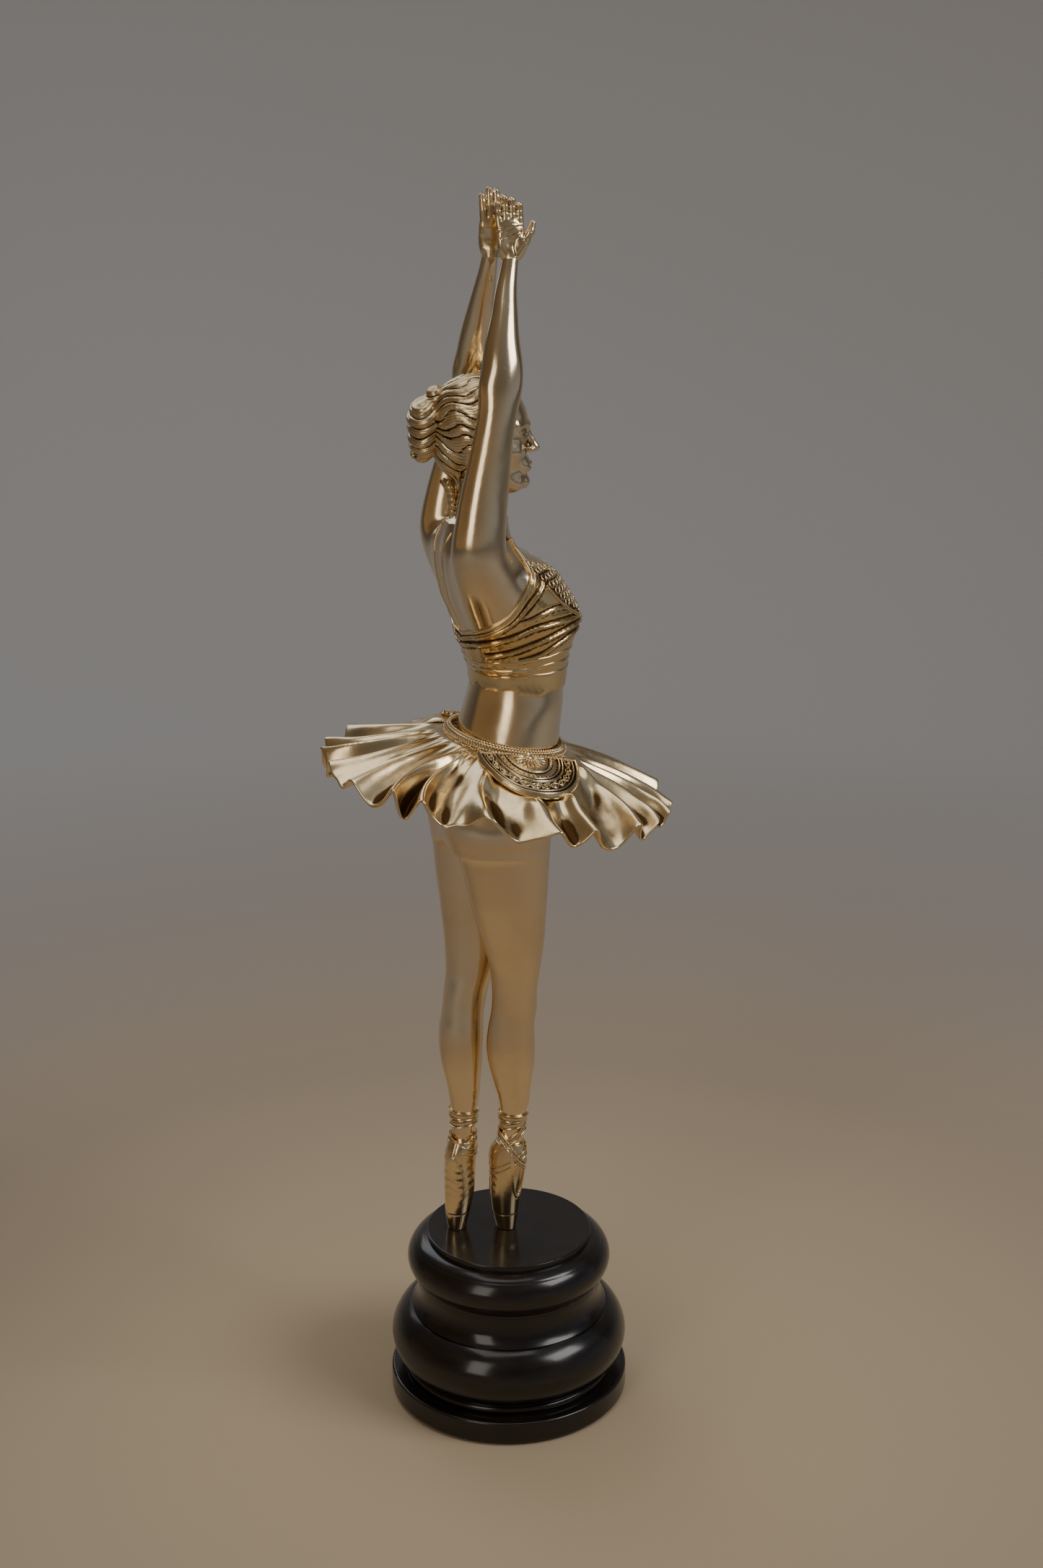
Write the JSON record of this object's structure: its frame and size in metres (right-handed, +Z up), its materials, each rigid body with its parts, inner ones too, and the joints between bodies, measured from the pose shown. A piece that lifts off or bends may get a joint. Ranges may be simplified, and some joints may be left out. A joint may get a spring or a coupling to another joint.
{
  "type": "cast bronze dancer statuette",
  "caption": "Cast bronze ballet dancer on pointe with raised arms and a pleated disc skirt, on a round turned black wooden base.",
  "frame": {"origin": "centre of the felt's underside, where the base rests", "axes": "+Z up; the dancer faces -Y; the figure's left is +X"},
  "size_m": [0.2012, 0.1995, 0.6971],
  "materials": {
    "cast_bronze": "polished, with dark brown patina in the recesses",
    "dowel_brass": "plain turned",
    "ebonised_wood": "glossy black lacquer over turned hardwood",
    "felt": "short felt",
    "steel": "zinc plated"
  },
  "bodies": {
    "root": {"ankle_dowels": "dowel_brass", "arm_left": "cast_bronze", "arm_right": "cast_bronze", "base_bun": "ebonised_wood", "base_cap": "ebonised_wood", "base_collar": "ebonised_wood", "base_plinth": "ebonised_wood", "belt": "cast_bronze", "chignon": "cast_bronze", "felt_pad": "felt", "foot_stud_left": "steel", "foot_stud_right": "steel", "front_buttons": "cast_bronze", "hair_cap": "cast_bronze", "hair_tress": "cast_bronze", "hand_left": "cast_bronze", "hand_right": "cast_bronze", "head": "cast_bronze", "hips": "cast_bronze", "lace_panel": "cast_bronze", "leg_left": "cast_bronze", "leg_right": "cast_bronze", "neck_dowel": "dowel_brass", "plaque_left": "cast_bronze", "plaque_right": "cast_bronze", "ribbon_left": "cast_bronze", "ribbon_right": "cast_bronze", "sash": "cast_bronze", "shoe_left": "cast_bronze", "shoe_right": "cast_bronze", "shoulder_dowels": "dowel_brass", "skirt": "cast_bronze", "stud_nuts": "steel", "stud_washers": "steel", "torso": "cast_bronze", "wrist_dowels": "dowel_brass"}
  },
  "joints": []
}
